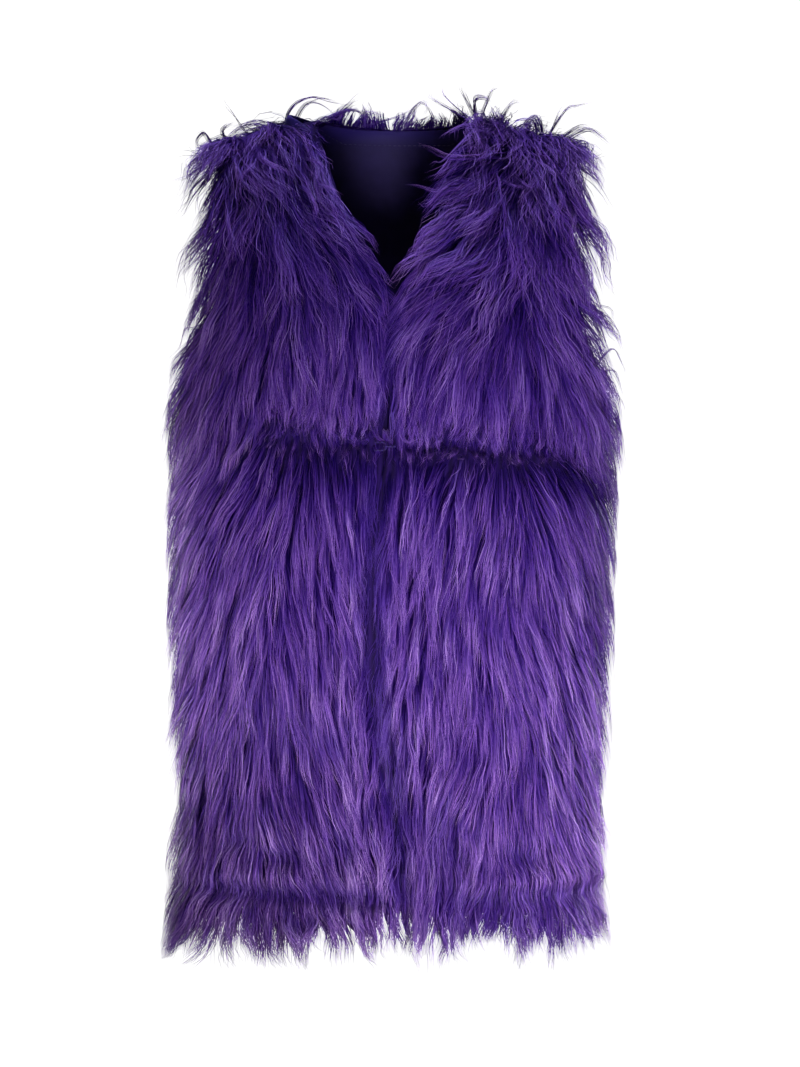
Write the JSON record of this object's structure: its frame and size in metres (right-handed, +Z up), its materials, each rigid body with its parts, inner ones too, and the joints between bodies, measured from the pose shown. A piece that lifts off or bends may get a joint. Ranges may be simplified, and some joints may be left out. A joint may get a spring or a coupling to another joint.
{
  "type": "faux fur gilet",
  "caption": "Sleeveless V-neck jacket of purple long-pile faux fur with a satin lining, open down the front and closed at the waist by a hook and eye. It is filled out and hollow.",
  "frame": {"origin": "between the shoulders, midway along the line of the two shoulder seams, where the wearer holds the garment up", "axes": "+Z up, +X towards the wearer's left, and the front faces -Y"},
  "size_m": [0.408, 0.2627, 0.7713],
  "materials": {
    "fur": "long glossy pile, combed down",
    "lining": "satin weave",
    "wire": "thread-covered wire"
  },
  "bodies": {
    "root": {"front_right": "fur", "front_left": "fur", "back": "fur", "lining_front_right": "lining", "lining_front_left": "lining", "lining_back": "lining", "fur_hook": "wire", "fur_eye": "wire"}
  },
  "joints": []
}
